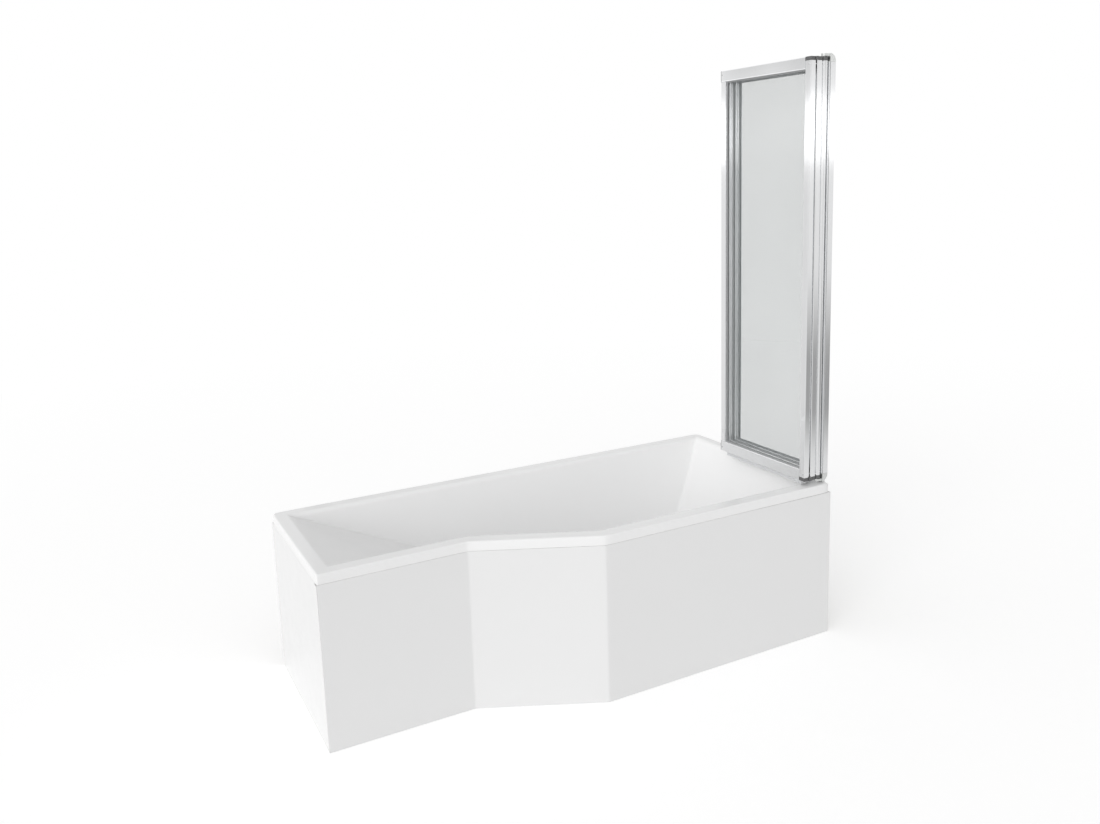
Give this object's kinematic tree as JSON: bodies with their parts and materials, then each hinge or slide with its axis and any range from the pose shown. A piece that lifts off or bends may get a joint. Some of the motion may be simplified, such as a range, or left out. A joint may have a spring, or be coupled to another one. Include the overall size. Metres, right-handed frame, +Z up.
{
  "type": "shower bath",
  "caption": "P shaped acrylic shower bath with a sloping back rest, slanted front panel, levelled steel frame, click waste, overflow and a folding framed glass screen.",
  "frame": {"origin": "on the floor, at the middle of the bath's length and width", "axes": "+X from the narrow end to the screen's wall, +Y from the front to the back wall, +Z up"},
  "size_m": [1.7, 0.75, 1.935],
  "materials": {
    "acrylic": "glossy white acrylic",
    "panel_acrylic": "glossy white moulded panel",
    "timber": "sawn softwood",
    "board": "raw chipboard",
    "galvanised_steel": "galvanised",
    "zinc_hardware": "zinc plated",
    "grey_plastic": "moulded",
    "chrome": "polished",
    "black_rubber": "soft",
    "white_plastic": "moulded",
    "polished_aluminium": "bright polished",
    "steel_pins": "stainless",
    "clear_glass": "clear, lightly tinted",
    "grey_gasket": "soft",
    "black_plastic": "moulded",
    "soft_seal": "translucent"
  },
  "bodies": {
    "bath": {"tub_shell": "acrylic", "rim_battens": "timber", "base_board": "board", "front_panel": "panel_acrylic", "end_panel": "panel_acrylic", "panel_clips": "grey_plastic", "floor_battens": "timber", "rim_wall_brackets": "galvanised_steel", "leg_rail_back_rest_side": "galvanised_steel", "leg_rail_screen_side": "galvanised_steel", "rail_screws": "zinc_hardware", "back_rest_frame": "galvanised_steel", "back_rest_wedge": "timber", "foot_studs": "zinc_hardware", "foot_nuts": "zinc_hardware", "foot_pads": "grey_plastic", "waste_flange": "chrome", "waste_gaskets": "black_rubber", "waste_body": "white_plastic", "waste_trap": "white_plastic", "waste_outlet_pipe": "white_plastic", "overflow_cover": "chrome", "overflow_body": "white_plastic", "overflow_pipe": "white_plastic", "wall_channel": "polished_aluminium", "hinge_post": "polished_aluminium", "post_screws": "steel_pins", "wall_hinge_arms": "zinc_hardware", "wall_hinge_pins": "steel_pins"},
    "plug": {"waste_plug": "chrome"},
    "inner_leaf": {"inner_fold_pins": "steel_pins", "inner_leaf_wall_stile": "polished_aluminium", "inner_leaf_fold_stile": "polished_aluminium", "inner_leaf_top_rail": "polished_aluminium", "inner_leaf_bottom_rail": "polished_aluminium", "inner_leaf_glass": "clear_glass", "inner_leaf_gasket": "grey_gasket", "inner_leaf_caps": "black_plastic", "inner_leaf_screws": "steel_pins", "inner_leaf_seal": "soft_seal"},
    "middle_leaf": {"middle_leaf_inner_stile": "polished_aluminium", "middle_leaf_outer_stile": "polished_aluminium", "middle_leaf_top_rail": "polished_aluminium", "middle_leaf_bottom_rail": "polished_aluminium", "middle_leaf_glass": "clear_glass", "middle_leaf_gasket": "grey_gasket", "middle_leaf_caps": "black_plastic", "middle_leaf_screws": "steel_pins", "middle_leaf_seal": "soft_seal", "outer_fold_pins": "steel_pins"},
    "outer_leaf": {"outer_leaf_fold_stile": "polished_aluminium", "outer_leaf_free_stile": "polished_aluminium", "outer_leaf_top_rail": "polished_aluminium", "outer_leaf_bottom_rail": "polished_aluminium", "outer_leaf_glass": "clear_glass", "outer_leaf_gasket": "grey_gasket", "outer_leaf_caps": "black_plastic", "outer_leaf_screws": "steel_pins", "outer_leaf_seal": "soft_seal"}
  },
  "joints": [
    {"name": "inner_leaf_swing", "type": "hinge", "parent": "bath", "child": "inner_leaf", "pos_m": [0.815, -0.344, 1.2], "axis": [0, 0, 1], "range_deg": [0, 90]},
    {"name": "middle_leaf_fold", "type": "hinge", "parent": "inner_leaf", "child": "middle_leaf", "pos_m": [0.8015, 0.0925, 1.2], "axis": [0, 0, -1], "range_deg": [0, 180]},
    {"name": "outer_leaf_fold", "type": "hinge", "parent": "middle_leaf", "child": "outer_leaf", "pos_m": [0.7745, -0.3565, 1.2], "axis": [0, 0, 1], "range_deg": [0, 180]},
    {"name": "plug_lift", "type": "slide", "parent": "bath", "child": "plug", "axis": [0, 0, 1], "range_m": [0, 0.009]}
  ]
}
